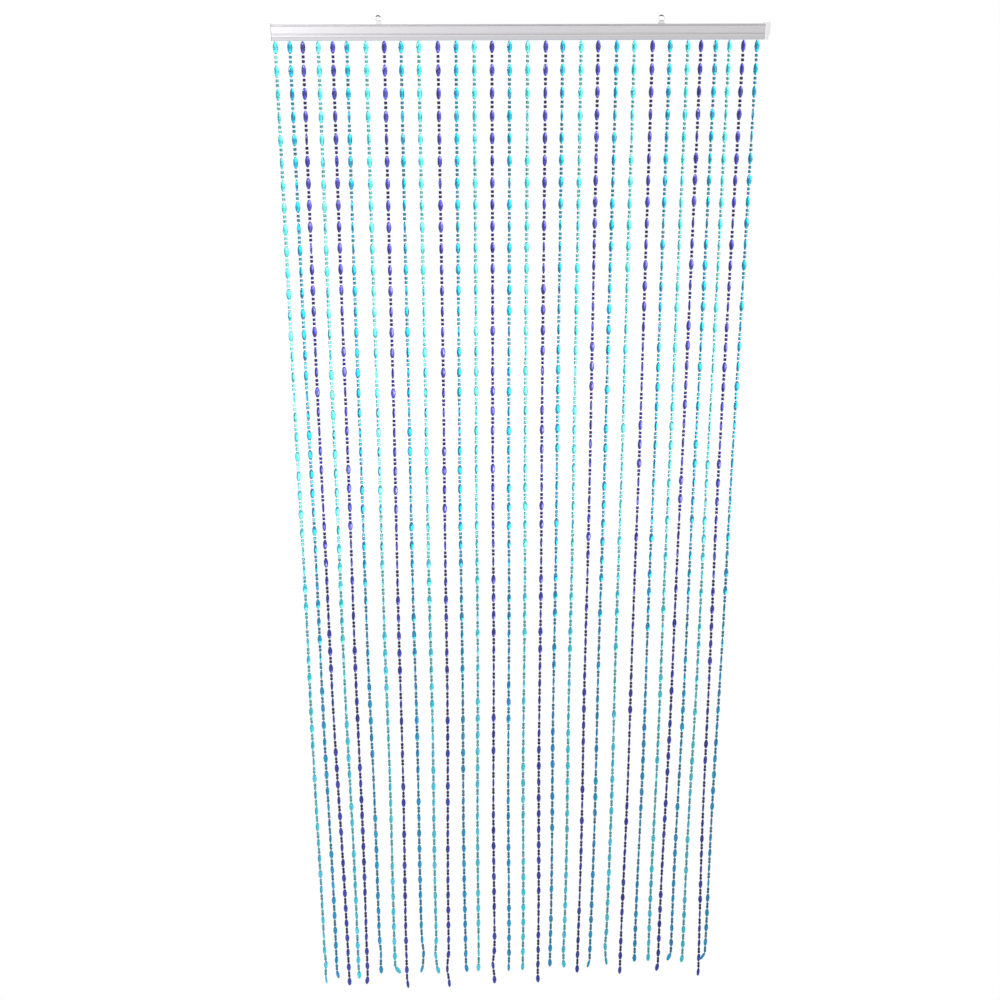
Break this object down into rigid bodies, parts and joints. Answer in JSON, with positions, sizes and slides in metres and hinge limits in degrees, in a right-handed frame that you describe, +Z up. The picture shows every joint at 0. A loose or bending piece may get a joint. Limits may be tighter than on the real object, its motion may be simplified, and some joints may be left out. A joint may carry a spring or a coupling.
{
  "type": "beaded string door curtain with its hanging rail",
  "caption": "Door curtain of hanging strings threaded with translucent aqua, cyan and indigo plastic beads, on a slim aluminium rail with white end caps and wire eyes for hanging.",
  "frame": {"origin": "midway between the two hanging eyes, at the height where their wires bear on what holds them", "axes": "+Z up the hanging strands, +X along the rail to the right as seen from the room, +Y through the curtain, away from the viewer"},
  "size_m": [0.9, 0.0233, 2.1034],
  "materials": {
    "brushed_aluminium": "brushed along its length, clear anodised",
    "white_plastic": "moulded, satin",
    "chromed_wire": "bright plated",
    "aqua_plastic": "translucent, moulded with cut facets",
    "cyan_plastic": "translucent, moulded with cut facets",
    "indigo_plastic": "translucent, moulded with cut facets"
  },
  "bodies": {
    "root": {"rail": "brushed_aluminium", "end_cap_left": "white_plastic", "end_cap_right": "white_plastic", "hanging_eye_left": "chromed_wire", "hanging_eye_right": "chromed_wire", "aqua_strands": "aqua_plastic", "cyan_strands": "cyan_plastic", "indigo_strands": "indigo_plastic"}
  },
  "joints": []
}
